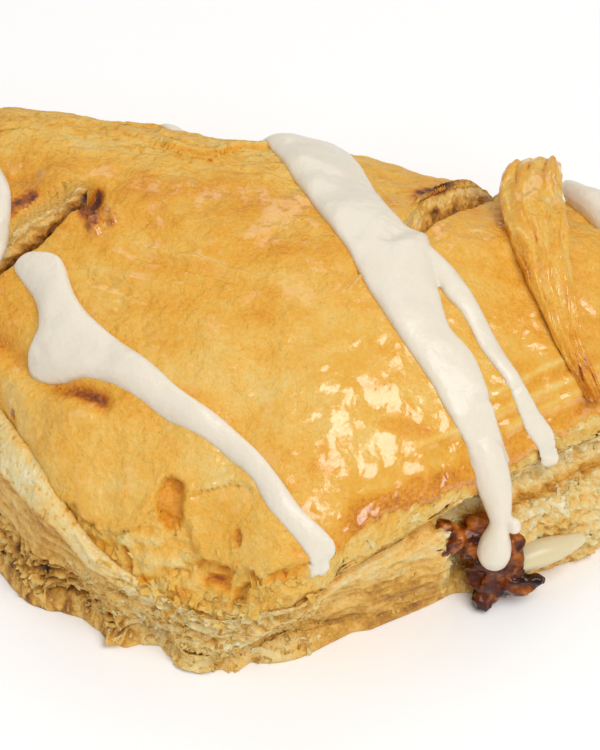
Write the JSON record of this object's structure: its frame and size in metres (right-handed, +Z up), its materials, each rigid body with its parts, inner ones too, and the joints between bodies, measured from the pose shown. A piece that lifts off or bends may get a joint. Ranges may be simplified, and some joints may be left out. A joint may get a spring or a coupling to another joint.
{
  "type": "apple turnover",
  "caption": "Triangular puff pastry turnover with a glazed, vented top, flaky cut edges, apple filling leaking from its seam and loose stripes of white icing.",
  "frame": {"origin": "middle of the turnover's box, on the surface it rests on", "axes": "+X along the fold to the right tip, +Y towards the fold, +Z up"},
  "size_m": [0.1577, 0.0784, 0.0418],
  "materials": {
    "pastry": "baked, egg-washed on top, matt and flaky at the cut edges",
    "filling": "glossy cooked apple syrup",
    "icing": "set sugar icing, soft gloss"
  },
  "bodies": {
    "root": {"pastry_crust": "pastry", "apple_filling": "filling", "icing_stripe_main": "icing", "icing_stripe_front_left": "icing", "icing_lobe_left": "icing", "icing_stripe_far_left": "icing", "icing_drop_back": "icing", "icing_stripe_right": "icing"}
  },
  "joints": []
}
